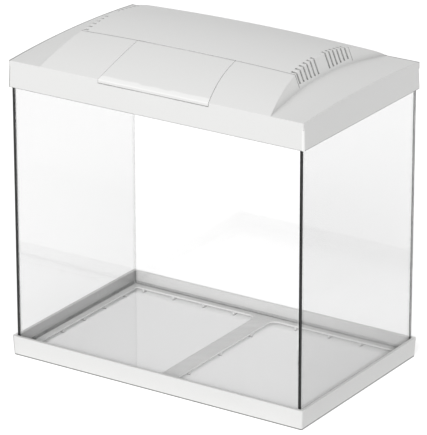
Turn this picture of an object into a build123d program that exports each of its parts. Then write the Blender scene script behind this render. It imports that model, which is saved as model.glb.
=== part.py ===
"""Small glass aquarium with a moulded base frame, a lift-off hood, a feeding flap and a hood lamp.

Units are millimetres. +X runs along the front, +Y from the front to the back, +Z up.
The origin is the centre of the footprint, on the plane that the base frame stands on.
"""
from build123d import *
import os
from math import sqrt

# Glass tank
GLASS_LENGTH = 393.4
GLASS_DEPTH = 245.8
GLASS_HEIGHT = 340.0
GLASS_THICK = 3.0
GLASS_EDGE_CHAMFER = 0.4
JOINT_GAP = 0.4
SEAL_BEAD = 3.0
SEAL_TIP = 0.1
SEAL_TOP_MARGIN = 6.0

# Base frame
BASE_HEIGHT = 23.9
BASE_END_REACH = 4.35
BASE_FRONT_REACH = 4.5
BASE_LENGTH_TOP = GLASS_LENGTH + 2 * BASE_END_REACH
BASE_DEPTH_TOP = GLASS_DEPTH + 2 * BASE_FRONT_REACH
BASE_DRAFT = 1.18
BASE_CORNER_RADIUS = 2.0
BASE_GLASS_CLEARANCE = 0.3
BASE_WALL_FOOT = 2.6
LEDGE_TOP_Z = 6.5
LEDGE_THICK = 2.5
LEDGE_WIDTH = 12.0
STRAP_WIDTH = 22.0
STRAP_FLARE_RADIUS = 11.0
STRAP_RIB_PITCH = 67.0
BASE_RIB_THICK = 1.8
LEDGE_RIB_PITCH = 44.0

# Hood skirt
HOOD_END_REACH = 3.3
HOOD_FRONT_REACH = 3.8
HOOD_LENGTH = GLASS_LENGTH + 2 * HOOD_END_REACH
HOOD_DEPTH = GLASS_DEPTH + 2 * HOOD_FRONT_REACH
HOOD_OVERLAP = 12.5
SKIRT_HEIGHT = 31.7
SKIRT_DRAFT = 1.16
SKIRT_CORNER_RADIUS = 3.0
SKIRT_INNER_RADIUS = 0.5
HOOD_WALL = 2.2
WALL_OVERLAP = 0.4

# Hood roof: a raised barrel between two lower shoulders
BARREL_RISE = 33.3
SHOULDER_WIDTH = 44.2
BARREL_FOOT_HALF_WIDTH = HOOD_LENGTH / 2 - SHOULDER_WIDTH
BARREL_SIDE_SLOPE = 0.41
BARREL_CROWN = 3.4
CROWN_POWER = 5
BARREL_STATIONS = 11
INNER_STATIONS = 13
BARREL_EDGE_SPARE = 12.0
SHOULDER_OUTER_RISE = 4.9
SHOULDER_INNER_RISE = 14.1
SHOULDER_ROOT = 15.8
SHOULDER_INNER_X = BARREL_FOOT_HALF_WIDTH - SHOULDER_ROOT
ROOF_ROOT = 8.0

# Vents and surface lines of the roof
VENT_WIDTH = 3.0
VENT_PITCH = 7.9
VENTS_PER_GROUP = 6
VENT_GROUP_CENTRES = (-33.2, 30.2)
VENT_FOOT_RISE = 15.8
VENT_TOP_REACH = 6.0
VENT_EDGE_RISE = 30.0
LINE_WIDTH = 0.8
LINE_DEPTH = 0.5
SEAM_Y = -57.0
VENT_LINE_Y = 57.0
VENT_LINE_FOOT_RISE = 12.0

# Feeding flap
FLAP_REAR_HALF_WIDTH = 66.1
FLAP_MID_HALF_WIDTH = 68.1
FLAP_FRONT_HALF_WIDTH = 74.3
FLAP_MID_Y = -92.0
FLAP_THICK = 2.0
FLAP_GAP = 0.6
FLAP_LIP = 4.0
FLAP_LIP_ROUND = 2.5
FLAP_REST_CLEARANCE = 0.3
FLAP_LEDGE_WIDTH = 5.0
FLAP_LEDGE_THICK = 1.6
FLAP_LEDGE_REAR_Y = -66.0
HINGE_DEPTH = 2.0
HINGE_SETBACK = 2.2
HINGE_SWING_CLEARANCE = 0.3
KNUCKLE_RADIUS = 1.8
KNUCKLE_LENGTH = 14.0
HINGE_PIN_RADIUS = 0.8
HINGE_PIN_LENGTH = 12.0
HINGE_PIN_CLEARANCE = 0.05
HINGE_EAR_RADIUS = 3.4
HINGE_EAR_LENGTH = 7.0
SCOOP_HALF_WIDTH = 40.0
SCOOP_HEIGHT = 13.0
SCOOP_DEPTH = 0.9

# Hood ribs, notches and bosses
RIB_THICK = 2.0
RIB_GLASS_COVER = 5.0
FRONT_RIB_XS = (-165.0, -105.0, 105.0, 165.0)
BACK_RIB_XS = (-165.0, -60.0, 60.0, 165.0)
SIDE_RIB_YS = (-85.0, 0.0, 85.0)
NOTCH_X = 115.0
NOTCH_WIDTH = 42.0
NOTCH_HEIGHT_OVER_GLASS = 11.0
BOSS_RADIUS = 4.0

# Screws
SCREW_SHANK_RADIUS = 1.45
SCREW_HOLE_CLEARANCE = 0.05
SCREW_HEAD_RADIUS = 2.8
SCREW_HEAD_HEIGHT = 1.8
SCREW_HEAD_CHAMFER = 0.6
SCREW_SLOT = 0.8
SCREW_SLOT_LENGTH = 3.6
SMALL_ROUND_SIDES = 10
TRAY_SCREW_LENGTH = 12.0
COVER_SCREW_LENGTH = 9.0

# Lamp unit under the roof
LAMP_Y = 0.0
TUBE_RADIUS = 8.0
TUBE_HEADROOM = 2.5
TUBE_FACE_LENGTH = 288.3
END_CAP_LENGTH = 8.0
LAMP_PIN_LENGTH = 7.0
LAMP_PIN_RADIUS = 1.18
LAMP_PIN_SPACING = 4.75
PIN_SOCKET_CLEARANCE = 0.05
PIN_SOCKET_EXTRA = 1.0
TRAY_LENGTH = 344.0
TRAY_DEPTH = 54.0
TRAY_HEIGHT = 23.0
TRAY_WALL = 2.0
TRAY_FLANGE = 8.0
TRAY_CORNER_CUT = 2.0
EAR_Y = 22.0
EAR_REACH = 12.0
EAR_WIDTH = 14.0
SPLASH_COVER_THICK = 2.0
GASKET_THICK = 1.5
COVER_MARGIN = 1.0
COVER_SCREW_XS = (-150.0, 0.0, 150.0)
HOLDER_RADIUS = 11.0
HOLDER_GRIP = 9.5
HOLDER_CLEARANCE = 0.2
REFLECTOR_THICK = 0.5
REFLECTOR_FLAT = 24.0
REFLECTOR_SIDE_MARGIN = 0.5

# Ballast behind the lamp
BALLAST_LENGTH = 104.0
BALLAST_DEPTH = 30.0
BALLAST_HEIGHT = 18.0
BALLAST_Y = 78.0
BALLAST_TAB = 12.0
BALLAST_TAB_THICK = 2.0
BALLAST_ROOF_GAP = 9.0
BALLAST_CORD_HOLE_RADIUS = 3.0
BALLAST_CORD_HOLE_DEPTH = 6.0

# Heights and widths worked out from the sizes above
GLASS_TOP_Z = LEDGE_TOP_Z + GLASS_HEIGHT
HOOD_RIM_Z = GLASS_TOP_Z - HOOD_OVERLAP
ROOF_Z = HOOD_RIM_Z + SKIRT_HEIGHT
ROOF_LENGTH = HOOD_LENGTH - 2 * SKIRT_DRAFT
ROOF_DEPTH = HOOD_DEPTH - 2 * SKIRT_DRAFT
BARREL_RADIUS = ((ROOF_DEPTH / 2) ** 2 + BARREL_RISE ** 2) / (2 * BARREL_RISE)
BARREL_CENTRE_Z = ROOF_Z + BARREL_RISE - BARREL_RADIUS
END_PANE_X = GLASS_LENGTH / 2 - GLASS_THICK
TRAY_BOTTOM_Z = GLASS_TOP_Z
TRAY_TOP_Z = TRAY_BOTTOM_Z + TRAY_HEIGHT
LAMP_Z = TRAY_TOP_Z - TRAY_WALL - TUBE_HEADROOM - TUBE_RADIUS
EAR_X = TRAY_LENGTH / 2 + EAR_REACH
ROOF_TOP_Z = ROOF_Z + BARREL_RISE + BARREL_CROWN


def box_between(x, y, z):
    """Box from three (low, high) pairs."""
    low = [min(pair) for pair in (x, y, z)]
    high = [max(pair) for pair in (x, y, z)]
    size = [b - a for a, b in zip(low, high)]
    centre = [(a + b) / 2 for a, b in zip(low, high)]
    return Pos(*centre) * Box(*size)


def rod(start, axis, radius, length):
    """Cylinder from a start point along +X, -X, +Y, +Z or -Z."""
    plane = Plane(origin=start, z_dir=axis)
    return extrude(plane * Circle(radius), amount=length)


def small_rod(start, axis, radius, length):
    """Many-sided rod, for a thin pin, a screw, a boss or a screw hole."""
    plane = Plane(origin=start, z_dir=axis)
    return extrude(plane * RegularPolygon(radius, SMALL_ROUND_SIDES), amount=length)


def fuse(pieces):
    """Join a list of overlapping solids."""
    whole = pieces[0]
    for piece in pieces[1:]:
        whole = whole + piece
    return whole


def barrel_height(y, inset):
    """Height of the raised barrel's side edge at y."""
    return BARREL_CENTRE_Z + sqrt((BARREL_RADIUS - inset) ** 2 - y ** 2)


def barrel_crown(y):
    """Extra height of the barrel's middle line: none at the front edge, full at the back."""
    share = (y + ROOF_DEPTH / 2) / ROOF_DEPTH
    return BARREL_CROWN * (1 - (1 - share) ** CROWN_POWER)


def barrel_half_width(z, inset):
    """Half width of the raised barrel between its sloping side walls."""
    wall_shift = inset * sqrt(1 + BARREL_SIDE_SLOPE ** 2)
    return BARREL_FOOT_HALF_WIDTH - BARREL_SIDE_SLOPE * (z - ROOF_Z) - wall_shift


def roof_height(x, y):
    """Height of the raised barrel's outer skin at a point in plan."""
    top = barrel_height(y, 0)
    share = x / barrel_half_width(top, 0)
    return top + barrel_crown(y) * (1 - share ** 2)


def barrel_section(y, inset):
    """Crowned section of the barrel across the hood, wider than the barrel itself."""
    top = barrel_height(y, inset)
    crown = barrel_crown(y)
    reach = BARREL_FOOT_HALF_WIDTH + BARREL_EDGE_SPARE
    share = reach / barrel_half_width(top, inset)
    side = top + crown * (1 - share ** 2)
    root = ROOF_Z - ROOF_ROOT
    plane = Plane(origin=(0, y, 0), x_dir=(1, 0, 0), z_dir=(0, -1, 0))
    floor = Line((-reach, root), (reach, root))
    right = Line((reach, root), (reach, side))
    roof = Bezier((reach, side), (0, 2 * (top + crown) - side), (-reach, side))
    left = Line((-reach, side), (-reach, root))
    return plane * make_face([floor, right, roof, left])


def barrel_sides(inset):
    """Prism between the barrel's two sloping side walls."""
    foot_z = ROOF_Z - ROOF_ROOT - 1
    foot = barrel_half_width(foot_z, inset)
    top = barrel_half_width(ROOF_TOP_Z, inset)
    outline = Polyline((-foot, foot_z), (foot, foot_z), (top, ROOF_TOP_Z), (-top, ROOF_TOP_Z), close=True)
    plane = Plane(origin=(0, ROOF_DEPTH / 2, 0), x_dir=(1, 0, 0), z_dir=(0, -1, 0))
    return extrude(plane * make_face(outline), amount=ROOF_DEPTH)


def shoulder_section(x, rise, inset):
    """Arched section of a shoulder along the hood's depth."""
    reach = ROOF_DEPTH / 2 - inset
    root = ROOF_Z - ROOF_ROOT
    low = ROOF_Z - inset
    plane = Plane(origin=(x, 0, 0), x_dir=(0, 1, 0), z_dir=(1, 0, 0))
    floor = Line((-reach, root), (reach, root))
    back = Line((reach, root), (reach, low))
    roof = ThreePointArc((reach, low), (0, low + rise), (-reach, low))
    front = Line((-reach, low), (-reach, root))
    return plane * make_face([floor, back, roof, front])


def hood_body(inset, count=INNER_STATIONS, ruled=True):
    """The hood's outer form moved inward by inset, as one solid. Ruled, its barrel has flat strips."""
    corner = max(SKIRT_CORNER_RADIUS - inset, SKIRT_INNER_RADIUS)
    shrink = 2 * inset * (1 - SKIRT_DRAFT / SKIRT_HEIGHT)
    rim = RectangleRounded(HOOD_LENGTH - shrink, HOOD_DEPTH - shrink, corner)
    shelf = RectangleRounded(ROOF_LENGTH - shrink, ROOF_DEPTH - shrink, corner)
    skirt = loft([Pos(0, 0, HOOD_RIM_Z - inset) * rim, Pos(0, 0, ROOF_Z - inset) * shelf])
    reach = ROOF_DEPTH / 2 - inset
    stations = [-reach + 2 * reach * i / (count - 1) for i in range(count)]
    barrel = loft([barrel_section(y, inset) for y in stations], ruled=ruled) & barrel_sides(inset)
    outer = shoulder_section(ROOF_LENGTH / 2 - inset, SHOULDER_OUTER_RISE, inset)
    inner = shoulder_section(SHOULDER_INNER_X, SHOULDER_INNER_RISE, inset)
    shoulder = loft([inner, outer], ruled=True)
    return skirt + barrel + shoulder + mirror(shoulder, about=Plane.YZ)


def flap_prism(grow, front_y):
    """Upright prism over the flap's outline, grown sideways and to the rear by grow."""
    rear_y = SEAM_Y - FLAP_GAP + grow
    rear = FLAP_REAR_HALF_WIDTH + grow
    middle = FLAP_MID_HALF_WIDTH + grow
    front = FLAP_FRONT_HALF_WIDTH + grow
    edge_y = -ROOF_DEPTH / 2
    right = ThreePointArc((rear, rear_y), (middle, FLAP_MID_Y), (front, edge_y))
    left = ThreePointArc((-front, edge_y), (-middle, FLAP_MID_Y), (-rear, rear_y))
    down = Line((front, edge_y), (front, front_y))
    across = Line((front, front_y), (-front, front_y))
    up = Line((-front, front_y), (-front, edge_y))
    back = Line((-rear, rear_y), (rear, rear_y))
    if front_y > edge_y:
        whole = flap_prism(grow, edge_y - 1)
        keep = box_between((-front, front), (front_y, rear_y), (HOOD_RIM_Z, ROOF_TOP_Z))
        return whole & keep
    outline = make_face([right, down, across, up, left, back])
    return Pos(0, 0, HOOD_RIM_Z) * extrude(outline, amount=ROOF_TOP_Z - HOOD_RIM_Z + 1)


# The roof forms that the shell, the flap and their seats are cut from
outer_form = hood_body(0, BARREL_STATIONS, ruled=False)
line_form = hood_body(LINE_DEPTH, BARREL_STATIONS, ruled=False)
inner_form = hood_body(HOOD_WALL)
attach_form = hood_body(HOOD_WALL - WALL_OVERLAP)
HINGE_Y = SEAM_Y - HINGE_SETBACK
HINGE_Z = roof_height(FLAP_REAR_HALF_WIDTH, HINGE_Y) - HINGE_DEPTH
print("hinge axis y", round(HINGE_Y, 3), "z", round(HINGE_Z, 3))


def make_base_frame():
    """Drafted frame with a glass ledge, a centre strap and stiffening ribs below."""
    top = RectangleRounded(BASE_LENGTH_TOP, BASE_DEPTH_TOP, BASE_CORNER_RADIUS)
    foot_length = BASE_LENGTH_TOP - 2 * BASE_DRAFT
    foot_depth = BASE_DEPTH_TOP - 2 * BASE_DRAFT
    foot = RectangleRounded(foot_length, foot_depth, BASE_CORNER_RADIUS)
    frame = loft([foot, Pos(0, 0, BASE_HEIGHT) * top])
    seat_length = GLASS_LENGTH + 2 * BASE_GLASS_CLEARANCE
    seat_depth = GLASS_DEPTH + 2 * BASE_GLASS_CLEARANCE
    seat = Pos(0, 0, LEDGE_TOP_Z) * extrude(Rectangle(seat_length, seat_depth), amount=BASE_HEIGHT)
    half_window = Pos((seat_length / 2 - LEDGE_WIDTH + STRAP_WIDTH / 2) / 2, 0) * Rectangle(
        seat_length / 2 - LEDGE_WIDTH - STRAP_WIDTH / 2, seat_depth - 2 * LEDGE_WIDTH)
    strap_side = half_window.vertices().filter_by(lambda v: v.X < STRAP_WIDTH)
    half_window = fillet(strap_side, STRAP_FLARE_RADIUS)
    through = extrude(half_window, amount=LEDGE_TOP_Z)
    hollow_length = foot_length - 2 * BASE_WALL_FOOT
    hollow_depth = foot_depth - 2 * BASE_WALL_FOOT
    under = extrude(Rectangle(hollow_length, hollow_depth), amount=LEDGE_TOP_Z - LEDGE_THICK)
    frame = frame - seat - under - through - mirror(through, about=Plane.YZ)
    rib_top = LEDGE_TOP_Z - LEDGE_THICK
    inner_x = seat_length / 2 - LEDGE_WIDTH
    inner_y = seat_depth / 2 - LEDGE_WIDTH
    ribs = []
    for y in (-STRAP_RIB_PITCH, 0, STRAP_RIB_PITCH):
        half = BASE_RIB_THICK / 2
        ribs.append(box_between((-STRAP_WIDTH / 2, STRAP_WIDTH / 2), (y - half, y + half), (0, rib_top)))
    long_count = int(inner_x / LEDGE_RIB_PITCH)
    for i in range(-long_count, long_count + 1):
        x = i * LEDGE_RIB_PITCH
        span = (x - BASE_RIB_THICK / 2, x + BASE_RIB_THICK / 2)
        ribs.append(box_between(span, (inner_y, hollow_depth / 2), (0, rib_top)))
        ribs.append(box_between(span, (-hollow_depth / 2, -inner_y), (0, rib_top)))
    short_count = int(inner_y / LEDGE_RIB_PITCH)
    for i in range(-short_count, short_count + 1):
        y = i * LEDGE_RIB_PITCH
        span = (y - BASE_RIB_THICK / 2, y + BASE_RIB_THICK / 2)
        ribs.append(box_between((inner_x, hollow_length / 2), span, (0, rib_top)))
        ribs.append(box_between((-hollow_length / 2, -inner_x), span, (0, rib_top)))
    return fuse([frame] + ribs)


def make_pane(x, y, z):
    """Float glass pane with ground edges."""
    pane = box_between(x, y, z)
    return chamfer(pane.edges(), GLASS_EDGE_CHAMFER)


def make_panes():
    """Two full-depth side panes, with the front, back and bottom panes between them."""
    half_x = GLASS_LENGTH / 2
    half_y = GLASS_DEPTH / 2
    wall_z = (LEDGE_TOP_Z, GLASS_TOP_Z)
    long_x = (-END_PANE_X + JOINT_GAP, END_PANE_X - JOINT_GAP)
    inside_y = half_y - GLASS_THICK - JOINT_GAP
    return {
        "left_pane": make_pane((-half_x, -END_PANE_X), (-half_y, half_y), wall_z),
        "right_pane": make_pane((END_PANE_X, half_x), (-half_y, half_y), wall_z),
        "front_pane": make_pane(long_x, (-half_y, -half_y + GLASS_THICK), wall_z),
        "back_pane": make_pane(long_x, (half_y - GLASS_THICK, half_y), wall_z),
        "bottom_pane": make_pane(long_x, (-inside_y, inside_y), (LEDGE_TOP_Z, LEDGE_TOP_Z + GLASS_THICK)),
    }


def make_corner_seals(panes, bottom_seal):
    """Four upright silicone joints, each a filled gap with a small bead inside the corner."""
    low = LEDGE_TOP_Z + GLASS_THICK
    high = GLASS_TOP_Z - SEAL_TOP_MARGIN
    corner_x = END_PANE_X
    corner_y = GLASS_DEPTH / 2 - GLASS_THICK
    gap = Polyline((corner_x - JOINT_GAP, corner_y + GLASS_THICK - GLASS_EDGE_CHAMFER),
                   (corner_x, corner_y + GLASS_THICK - GLASS_EDGE_CHAMFER),
                   (corner_x, corner_y - SEAL_BEAD),
                   (corner_x - JOINT_GAP - SEAL_BEAD, corner_y),
                   (corner_x - JOINT_GAP, corner_y), close=True)
    seal = Pos(0, 0, low) * extrude(make_face(gap), amount=high - low)
    seal = seal - panes["back_pane"] - panes["right_pane"] - bottom_seal
    right = [seal, mirror(seal, about=Plane.XZ)]
    return Compound(children=right + [mirror(piece, about=Plane.YZ) for piece in right])


def make_bottom_seal(panes):
    """Silicone joint all round the bottom pane, with a bead on its upper inner corner."""
    pane_top = LEDGE_TOP_Z + GLASS_THICK
    outer_x = END_PANE_X
    outer_y = GLASS_DEPTH / 2 - GLASS_THICK
    low_z = LEDGE_TOP_Z + GLASS_EDGE_CHAMFER
    ring = box_between((-outer_x, outer_x), (-outer_y, outer_y), (low_z, pane_top))
    bead = box_between((-outer_x, outer_x), (-outer_y, outer_y), (pane_top, pane_top + SEAL_BEAD))
    room_foot = Rectangle(2 * (outer_x - SEAL_BEAD), 2 * (outer_y - SEAL_BEAD))
    room_top = Rectangle(2 * (outer_x - SEAL_TIP), 2 * (outer_y - SEAL_TIP))
    bead_room = loft([Pos(0, 0, pane_top) * room_foot, Pos(0, 0, pane_top + SEAL_BEAD) * room_top])
    seal = ring + (bead - bead_room)
    for name in ("bottom_pane", "left_pane", "right_pane", "front_pane", "back_pane"):
        seal = seal - panes[name]
    return seal


def surface_line(region):
    """Thin groove in the outer skin, kept to a region."""
    return (outer_form - line_form) & region


def vent_cutters():
    """Slots that run up each raised side wall and over its top edge."""
    inner_x = barrel_half_width(ROOF_Z + VENT_EDGE_RISE, 0) - VENT_TOP_REACH
    outer_x = BARREL_FOOT_HALF_WIDTH + 5
    foot_z = ROOF_Z + VENT_FOOT_RISE
    cutters = []
    for centre in VENT_GROUP_CENTRES:
        for i in range(VENTS_PER_GROUP):
            y = centre + (i - (VENTS_PER_GROUP - 1) / 2) * VENT_PITCH
            span = (y - VENT_WIDTH / 2, y + VENT_WIDTH / 2)
            cutters.append(box_between((inner_x, outer_x), span, (foot_z, ROOF_TOP_Z + 1)))
            cutters.append(box_between((-outer_x, -inner_x), span, (foot_z, ROOF_TOP_Z + 1)))
    return cutters


def roof_lines():
    """Cross seam on the barrel and the end lines of the vent rows."""
    half = LINE_WIDTH / 2
    high = ROOF_TOP_Z + 1
    reach = BARREL_FOOT_HALF_WIDTH
    foot_z = ROOF_Z + VENT_LINE_FOOT_RISE
    inner_x = barrel_half_width(ROOF_Z + VENT_EDGE_RISE, 0)
    seam = box_between((-reach, reach), (SEAM_Y - half, SEAM_Y + half), (foot_z, high))
    right = box_between((inner_x, reach), (VENT_LINE_Y - half, VENT_LINE_Y + half), (foot_z, high))
    left = box_between((-reach, -inner_x), (VENT_LINE_Y - half, VENT_LINE_Y + half), (foot_z, high))
    return surface_line(fuse([seam, right, left]))


def make_hood_shell():
    """Moulded hood: skirt, shoulders and barrel, with its opening, vents, ribs and bosses."""
    shell = outer_form - inner_form
    lip_z = ROOF_Z - FLAP_LIP
    past_front = -HOOD_DEPTH / 2 - 5
    recess = flap_prism(FLAP_GAP, past_front) & box_between(
        (-HOOD_LENGTH, HOOD_LENGTH), (past_front, 0), (lip_z - FLAP_GAP, ROOF_TOP_Z + 1))
    shell = shell - recess

    # Ledge that the closed flap rests on, along its sides and behind its lip
    seat_depth = FLAP_THICK + FLAP_REST_CLEARANCE
    ledge_floor = hood_body(seat_depth + FLAP_LEDGE_THICK)
    ledge_room = box_between((-HOOD_LENGTH, HOOD_LENGTH), (-HOOD_DEPTH, FLAP_LEDGE_REAR_Y),
                             (lip_z - FLAP_LEDGE_WIDTH, ROOF_TOP_Z))
    outline = flap_prism(FLAP_GAP + 2.0, past_front)
    opening = flap_prism(-FLAP_LEDGE_WIDTH, -ROOF_DEPTH / 2 + seat_depth + FLAP_LEDGE_WIDTH)
    seat = (hood_body(seat_depth) - ledge_floor) & outline & ledge_room
    collar = ((attach_form - ledge_floor) & outline & ledge_room) - recess
    shell = shell + (collar + seat - opening)

    # Hollow along the opening's rear edge, which the flap's rear corner swings through
    corner_y = HINGE_SETBACK - FLAP_GAP
    corner_z = roof_height(0, SEAM_Y) - HINGE_Z
    swing = sqrt(corner_y ** 2 + corner_z ** 2) + HINGE_SWING_CLEARANCE
    ear_x = FLAP_REAR_HALF_WIDTH + FLAP_GAP
    shell = shell - rod((-ear_x, HINGE_Y, HINGE_Z), (1, 0, 0), swing, 2 * ear_x)

    # Ears that carry the hinge pins
    for side in (-1, 1):
        start = (side * ear_x, HINGE_Y, HINGE_Z)
        ear = rod(start, (side, 0, 0), HINGE_EAR_RADIUS, HINGE_EAR_LENGTH) & attach_form
        hole = rod(start, (side, 0, 0), HINGE_PIN_RADIUS + HINGE_PIN_CLEARANCE, HINGE_EAR_LENGTH)
        shell = shell + ear - hole

    # Ribs that rest on the rim of the glass
    rib_low = GLASS_TOP_Z
    rib_high = ROOF_Z
    rib_y = GLASS_DEPTH / 2 - GLASS_THICK - RIB_GLASS_COVER
    rib_x = GLASS_LENGTH / 2 - GLASS_THICK - RIB_GLASS_COVER
    half = RIB_THICK / 2
    ribs = []
    for x in FRONT_RIB_XS:
        ribs.append(box_between((x - half, x + half), (-HOOD_DEPTH / 2, -rib_y), (rib_low, rib_high)))
    for x in BACK_RIB_XS:
        ribs.append(box_between((x - half, x + half), (rib_y, HOOD_DEPTH / 2), (rib_low, rib_high)))
    for y in SIDE_RIB_YS:
        ribs.append(box_between((rib_x, HOOD_LENGTH / 2), (y - half, y + half), (rib_low, rib_high)))
        ribs.append(box_between((-HOOD_LENGTH / 2, -rib_x), (y - half, y + half), (rib_low, rib_high)))
    for x, y, low_z in boss_places():
        ribs.append(small_rod((x, y, low_z), (0, 0, 1), BOSS_RADIUS, ROOF_TOP_Z - low_z))
    for rib in ribs:
        shell = shell + (rib & attach_form)

    # Screw holes in the bosses
    for x, y, low_z in boss_places():
        shell = shell - screw_hole(x, y, low_z, TRAY_SCREW_LENGTH)

    # Notches at the back for hoses and cords
    notch_top = GLASS_TOP_Z + NOTCH_HEIGHT_OVER_GLASS
    for side in (-1, 1):
        x = side * NOTCH_X
        span = (x - NOTCH_WIDTH / 2, x + NOTCH_WIDTH / 2)
        shell = shell - box_between(span, (rib_y, HOOD_DEPTH / 2 + 1), (HOOD_RIM_Z - 1, notch_top))

    # Shallow scoop for a finger below the flap's lip: a wide leaning cylinder that fades out downward
    scoop_radius = (SCOOP_HALF_WIDTH ** 2 + SCOOP_DEPTH ** 2) / (2 * SCOOP_DEPTH)
    draft = SKIRT_DRAFT / SKIRT_HEIGHT
    deepest = Vector(0, -ROOF_DEPTH / 2 - draft * FLAP_LIP + SCOOP_DEPTH, lip_z)
    fade = Vector(0, -SCOOP_DEPTH - draft * SCOOP_HEIGHT, -SCOOP_HEIGHT)
    lean = fade.normalized()
    centre = deepest + lean.cross(Vector(1, 0, 0)) * scoop_radius
    scoop = rod(centre - lean * FLAP_LIP, lean, scoop_radius, FLAP_LIP + 2 * SCOOP_HEIGHT)
    shell = shell - scoop

    for cutter in vent_cutters():
        shell = shell - cutter
    return shell - roof_lines()


def boss_places():
    """Centres and lower ends of the bosses for the lamp tray and the ballast."""
    low_z = TRAY_BOTTOM_Z + TRAY_WALL
    tray = [(sx * EAR_X, LAMP_Y + sy * EAR_Y, low_z) for sx in (-1, 1) for sy in (-1, 1)]
    ballast = [(sx * ballast_screw_x(), BALLAST_Y, ballast_top_z()) for sx in (-1, 1)]
    return tray + ballast


def ballast_top_z():
    """Upper face of the ballast, hung below the roof at its rear edge."""
    return barrel_height(BALLAST_Y, HOOD_WALL) - BALLAST_ROOF_GAP


def ballast_screw_x():
    """Distance of a ballast screw from the middle."""
    return BALLAST_LENGTH / 2 + BALLAST_TAB / 2


def lip_edge(flap):
    """The flap's long outer edge, where its top turns down into the lip."""
    front_y = -ROOF_DEPTH / 2 + FLAP_GAP
    long_edges = flap.edges().filter_by(lambda e: e.length > FLAP_FRONT_HALF_WIDTH)
    front = long_edges.filter_by(lambda e: e.center().Y < front_y)
    return front.sort_by(Axis.Z)[-1]


def make_feeding_flap():
    """Curved flap flush with the roof, with a front lip and two hinge knuckles."""
    past_front = -HOOD_DEPTH / 2 - 5
    lip_z = ROOF_Z - FLAP_LIP
    room = box_between((-HOOD_LENGTH, HOOD_LENGTH), (past_front, 0), (lip_z, ROOF_TOP_Z + 1))
    flap = (outer_form - hood_body(FLAP_THICK)) & flap_prism(0, past_front) & room
    flap = fillet(lip_edge(flap), FLAP_LIP_ROUND)
    for side in (-1, 1):
        start = (side * FLAP_REAR_HALF_WIDTH, HINGE_Y, HINGE_Z)
        knuckle = rod(start, (-side, 0, 0), KNUCKLE_RADIUS, KNUCKLE_LENGTH) & outer_form
        flap = flap + knuckle
        flap = flap - rod(start, (-side, 0, 0), HINGE_PIN_RADIUS, HINGE_PIN_LENGTH / 2)
    return flap


def make_hinge_pins():
    """Two pins on the hinge line, each half in a knuckle and half in an ear."""
    inner_x = FLAP_REAR_HALF_WIDTH - HINGE_PIN_LENGTH / 2
    starts = [(side * inner_x, HINGE_Y, HINGE_Z) for side in (-1, 1)]
    pins = [rod(start, (start[0], 0, 0), HINGE_PIN_RADIUS, HINGE_PIN_LENGTH) for start in starts]
    return Compound(children=pins)


def make_screw(x, y, head_z, length):
    """Pan-head screw driven upward, its head below head_z."""
    low_z = head_z - SCREW_HEAD_HEIGHT
    head = small_rod((x, y, low_z), (0, 0, 1), SCREW_HEAD_RADIUS, SCREW_HEAD_HEIGHT)
    head = chamfer(head.faces().sort_by(Axis.Z)[0].edges(), SCREW_HEAD_CHAMFER)
    shank = small_rod((x, y, head_z), (0, 0, 1), SCREW_SHANK_RADIUS, length)
    slot = Pos(x, y, low_z) * Box(SCREW_SLOT_LENGTH, SCREW_SLOT, SCREW_SLOT)
    return head + shank - slot


def screw_hole(x, y, low_z, depth):
    """Upright hole for a screw's shank."""
    return small_rod((x, y, low_z), (0, 0, 1), SCREW_SHANK_RADIUS + SCREW_HOLE_CLEARANCE, depth)


def cover_screw_places():
    """Centres of the six screws that hold the splash cover."""
    reach = TRAY_DEPTH / 2 + TRAY_FLANGE / 2
    return [(x, LAMP_Y + side * reach) for x in COVER_SCREW_XS for side in (-1, 1)]


def cut_rectangle(length, depth):
    """Flat rectangle with its corners cut off."""
    return chamfer(Rectangle(length, depth).vertices(), TRAY_CORNER_CUT)


def make_lamp_tray():
    """Upturned trough with a sealing flange, screw bosses and four mounting ears."""
    middle_z = (TRAY_BOTTOM_Z + TRAY_TOP_Z) / 2
    block = Pos(0, LAMP_Y, middle_z) * Box(TRAY_LENGTH, TRAY_DEPTH, TRAY_HEIGHT)
    block = chamfer(block.edges().filter_by(Axis.Z), TRAY_CORNER_CUT)
    block = chamfer(block.faces().sort_by(Axis.Z)[-1].edges(), TRAY_WALL / 2)
    flange_length = TRAY_LENGTH + 2 * TRAY_FLANGE
    flange_plan = cut_rectangle(flange_length, TRAY_DEPTH + 2 * TRAY_FLANGE)
    flange = Pos(0, LAMP_Y, TRAY_BOTTOM_Z) * extrude(flange_plan, amount=TRAY_WALL)
    tray = block + flange
    ear_outer = EAR_X + EAR_WIDTH / 3
    for side in (-1, 1):
        for y in (LAMP_Y - EAR_Y, LAMP_Y + EAR_Y):
            span_x = (side * TRAY_LENGTH / 2, side * ear_outer)
            span_y = (y - EAR_WIDTH / 2, y + EAR_WIDTH / 2)
            tray = tray + box_between(span_x, span_y, (TRAY_BOTTOM_Z, TRAY_BOTTOM_Z + TRAY_WALL))
    for x, y in cover_screw_places():
        tray = tray + small_rod((x, y, TRAY_BOTTOM_Z), (0, 0, 1), TRAY_FLANGE / 2, COVER_SCREW_LENGTH - 1)
    room = Pos(0, LAMP_Y, middle_z - TRAY_WALL / 2) * Box(
        TRAY_LENGTH - 2 * TRAY_WALL, TRAY_DEPTH - 2 * TRAY_WALL, TRAY_HEIGHT - TRAY_WALL)
    tray = tray - room
    for x, y in cover_screw_places():
        tray = tray - screw_hole(x, y, TRAY_BOTTOM_Z, COVER_SCREW_LENGTH - 2)
    for side in (-1, 1):
        for y in (LAMP_Y - EAR_Y, LAMP_Y + EAR_Y):
            tray = tray - screw_hole(side * EAR_X, y, TRAY_BOTTOM_Z, TRAY_WALL)
    return tray


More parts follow.
